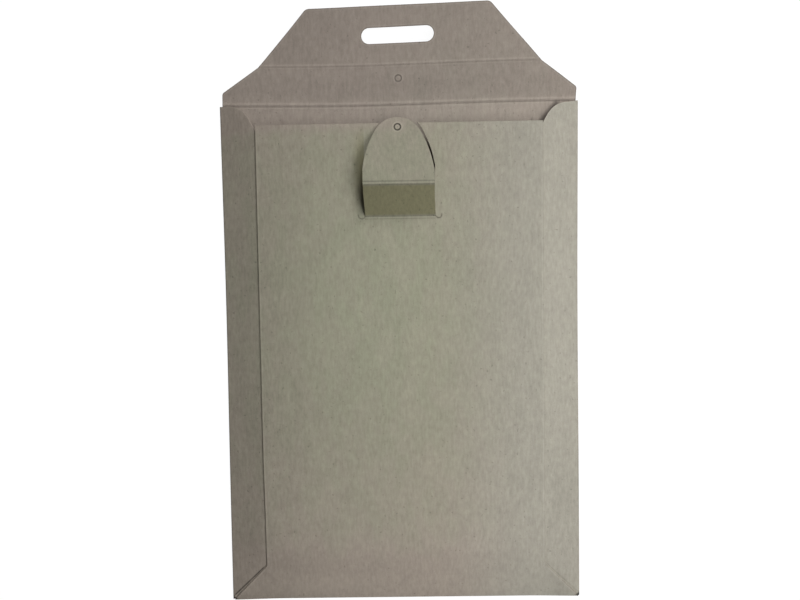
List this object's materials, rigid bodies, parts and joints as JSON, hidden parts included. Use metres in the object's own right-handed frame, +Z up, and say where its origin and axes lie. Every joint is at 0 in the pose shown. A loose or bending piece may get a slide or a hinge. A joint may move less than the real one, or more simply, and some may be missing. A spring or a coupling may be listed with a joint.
{
  "type": "cardboard envelope",
  "caption": "Greyboard document envelope with an open pocket, a tapered flap with a handle slot, and a locking tab pushed up from its front panel.",
  "frame": {"origin": "middle of the whole outline, on the surface that the envelope lies on", "axes": "+Y from the bottom fold towards the flap, +Z up out of the front panel, +X to the right seen from the front"},
  "size_m": [0.254, 0.4255, 0.018],
  "materials": {
    "greyboard": "uncoated matt grey-brown recycled board"
  },
  "bodies": {
    "root": {"envelope": "greyboard"}
  },
  "joints": []
}
